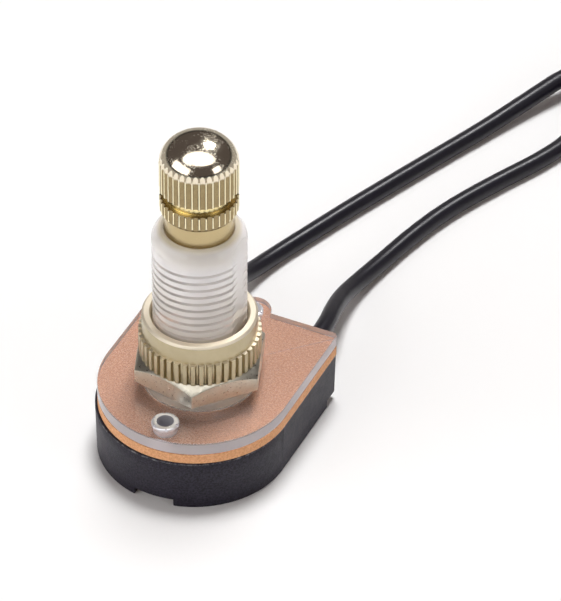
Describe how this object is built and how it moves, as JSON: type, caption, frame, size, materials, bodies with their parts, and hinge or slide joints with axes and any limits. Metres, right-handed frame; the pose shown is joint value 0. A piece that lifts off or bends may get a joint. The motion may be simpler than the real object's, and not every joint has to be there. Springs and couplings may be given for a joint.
{
  "type": "rotary canopy switch",
  "caption": "Small round-fronted rotary lamp switch with a clear threaded stem, brass knob and nuts, black moulded base and black wire leads.",
  "frame": {"origin": "on the stem's axis, at the base that the part rests on", "axes": "+Z along the stem towards the knob, -Y towards the rounded front, +Y towards the straight back edge where the leads leave"},
  "size_m": [0.0517, 0.1012, 0.0418],
  "materials": {
    "cup_black": "fine satin moulding",
    "fibre": "smooth vulcanised fibre",
    "clear_cover": "clear and slightly milky, polished",
    "polished_brass": "bright polished and lacquered",
    "turned_brass": "fine turned, pale plated",
    "plated_nut": "pale plated, softly worn",
    "bright_tin": "bright rolled tin plate",
    "steel": "fine turned",
    "spring_steel": "drawn wire and strip",
    "rotor_plastic": "dense moulding",
    "contact_brass": "rolled strip",
    "contact_silver": "plain silver",
    "lead_black": "satin extruded insulation",
    "tinned_copper": "tinned twisted strands"
  },
  "bodies": {
    "switch_body": {"housing_cup": "cup_black", "insulating_gasket": "fibre", "cover_and_stem": "clear_cover", "eyelet_rivets": "bright_tin", "index_spring": "spring_steel", "left_terminal": "contact_brass", "right_terminal": "contact_brass", "contact_points": "contact_silver", "left_lead": "lead_black", "right_lead": "lead_black", "lead_cores": "tinned_copper", "left_lead_tip": "tinned_copper", "right_lead_tip": "tinned_copper"},
    "knob_assembly": {"knob": "polished_brass", "spindle": "steel", "retaining_clip": "spring_steel", "thrust_washer": "steel", "rotor_spring": "spring_steel", "rotor": "rotor_plastic", "contact_bridge": "contact_brass"},
    "hex_nut": {"hex_nut": "plated_nut"},
    "ring_nut": {"ring_nut": "turned_brass"}
  },
  "joints": [
    {"name": "knob_turn", "type": "hinge", "parent": "switch_body", "child": "knob_assembly", "pos_m": [0, 0, 0.03], "axis": [0, 0, -1], "continuous": true},
    {"name": "hex_nut_travel", "type": "slide", "parent": "switch_body", "child": "hex_nut", "axis": [0, 0, 1], "range_m": [0, 0.0098]},
    {"name": "ring_nut_travel", "type": "slide", "parent": "hex_nut", "child": "ring_nut", "axis": [0, 0, 1], "range_m": [0, 0.0098]}
  ]
}
